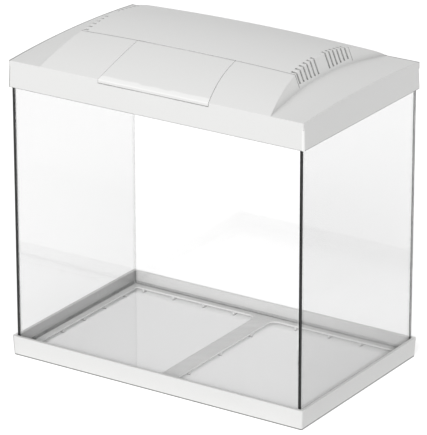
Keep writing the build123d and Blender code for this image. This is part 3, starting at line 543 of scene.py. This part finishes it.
def floor_material(studio):
    """Matt white paper floor that shows as white where nothing shades it."""
    material, tree = new_material("white_paper")
    point = object_point(tree)
    # Paper fibre, drawn some 3 mm coarse so that it shows
    fibre = add_node(tree, "ShaderNodeTexNoise", {"Vector": point, "Scale": 300.0, "Detail": 2.0})
    bump = add_node(tree, "ShaderNodeBump", {
        "Strength": 0.03, "Distance": 0.05 * MM, "Height": fibre.outputs["Fac"]})
    paper = add_node(tree, "ShaderNodeBsdfDiffuse", {"Color": linear("#F4F4F4"), "Normal": bump})
    # Glass and metal show the floor as the camera sees it
    shown = shown_rays(tree)
    # Within the base frame the floor glows less: painted shade under the frame, on top of the frame's
    # real shade there
    place = add_node(tree, "ShaderNodeSeparateXYZ", {"Vector": point}).outputs
    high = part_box("base_frame")[1]
    past_edge = []
    for axis in (0, 1):
        distance = add_node(tree, "ShaderNodeMath", {0: place[axis]}, operation="ABSOLUTE")
        past_edge.append(add_node(tree, "ShaderNodeMath", {0: distance, 1: high[axis] - FLOOR_INSET * MM},
                                  operation="GREATER_THAN"))
    outside = add_node(tree, "ShaderNodeMath", {0: past_edge[0], 1: past_edge[1]}, operation="MAXIMUM")
    level = add_node(tree, "ShaderNodeMapRange", {
        "Value": outside, "To Min": studio.floor_glow_inside, "To Max": studio.floor_glow})
    strength = add_node(tree, "ShaderNodeMath", {0: shown, 1: level}, operation="MULTIPLY")
    glow = add_node(tree, "ShaderNodeEmission", {"Strength": strength})
    both = add_node(tree, "ShaderNodeAddShader", {0: paper, 1: glow})
    add_node(tree, "ShaderNodeOutputMaterial", {"Surface": both})
    return material


def studio_world(studio):
    """World that gives even light and is white behind the object."""
    world = bpy.data.worlds.new("studio_world")
    bpy.context.scene.world = world
    world.use_nodes = True
    tree = world.node_tree
    tree.nodes.clear()
    strength = add_node(tree, "ShaderNodeMapRange", {
        "Value": shown_rays(tree), "To Min": studio.ambient, "To Max": studio.backdrop})
    light = add_node(tree, "ShaderNodeBackground", {"Strength": strength})
    add_node(tree, "ShaderNodeOutputWorld", {"Surface": light})


def key_light(studio):
    """Large soft key light from the front right."""
    lamp = bpy.data.lights.new("key_light", "SUN")
    lamp.energy = studio.key_strength
    lamp.angle = studio.key_spread
    key = bpy.data.objects.new("key_light", lamp)
    bpy.context.collection.objects.link(key)
    # Glass would mirror the lamp's disc with a hard border
    key.visible_glossy = False
    key.visible_transmission = False
    level = math.cos(studio.key_elevation)
    toward = Vector((math.sin(studio.key_azimuth) * level, -math.cos(studio.key_azimuth) * level,
                     math.sin(studio.key_elevation)))
    key.rotation_euler = toward.to_track_quat("Z", "Y").to_euler()


def studio_camera(studio):
    """Camera at the viewing angle of the picture."""
    lens = bpy.data.cameras.new("camera")
    lens.sensor_width = 36.0
    lens.lens = studio.focal_pixels / IMAGE_LONG_SIDE * lens.sensor_width
    # Far enough for the whole floor
    lens.clip_end = 100.0
    camera = bpy.data.objects.new("camera", lens)
    bpy.context.collection.objects.link(camera)
    place = Vector(studio.camera_place)
    aim = Vector(studio.camera_aim) - place
    turn = aim.to_track_quat("-Z", "Y").to_matrix() @ Matrix.Rotation(studio.camera_roll, 3, "Z")
    camera.matrix_world = Matrix.Translation(place) @ turn.to_4x4()
    bpy.context.scene.camera = camera


class AQUARIUM_OT_stage(bpy.types.Operator):
    """Makes the floor, the light and the camera."""

    bl_idname = "aquarium.stage"
    bl_label = "Studio"

    def execute(self, context):
        studio = context.scene.studio
        bpy.ops.object.select_all(action="DESELECT")
        bpy.ops.mesh.primitive_plane_add(size=studio.floor_size, location=(0, 0, 0))
        floor = context.active_object
        floor.name = "floor"
        paint(floor, floor_material(studio))
        studio_world(studio)
        key_light(studio)
        studio_camera(studio)
        context.scene.view_settings.view_transform = "Standard"
        return {"FINISHED"}


class AQUARIUM_PT_panel(bpy.types.Panel):
    """Lists the aquarium's settings and steps."""

    bl_idname = "AQUARIUM_PT_panel"
    bl_label = "Aquarium"
    bl_space_type = "VIEW_3D"
    bl_region_type = "UI"
    bl_category = "Aquarium"

    def draw(self, context):
        for group in (context.scene.aquarium, context.scene.studio):
            for name in group.__annotations__:
                self.layout.prop(group, name)
        for step in STEPS:
            self.layout.operator(step.bl_idname)


STEPS = (
    AQUARIUM_OT_stage,
    AQUARIUM_OT_plastic,
    AQUARIUM_OT_panes,
    AQUARIUM_OT_seals,
    AQUARIUM_OT_lamp,
)
CLASSES = (AquariumSettings, StudioSettings, AQUARIUM_PT_panel) + STEPS


def register():
    for item in CLASSES:
        bpy.utils.register_class(item)
    bpy.types.Scene.aquarium = PointerProperty(type=AquariumSettings)
    bpy.types.Scene.studio = PointerProperty(type=StudioSettings)


def unregister():
    del bpy.types.Scene.studio
    del bpy.types.Scene.aquarium
    for item in reversed(CLASSES):
        bpy.utils.unregister_class(item)


def main():
    """Registers the add-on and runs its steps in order."""
    register()
    bpy.ops.aquarium.stage()
    bpy.ops.aquarium.plastic()
    bpy.ops.aquarium.panes()
    bpy.ops.aquarium.seals()
    bpy.ops.aquarium.lamp()


if __name__ == "__main__":
    main()
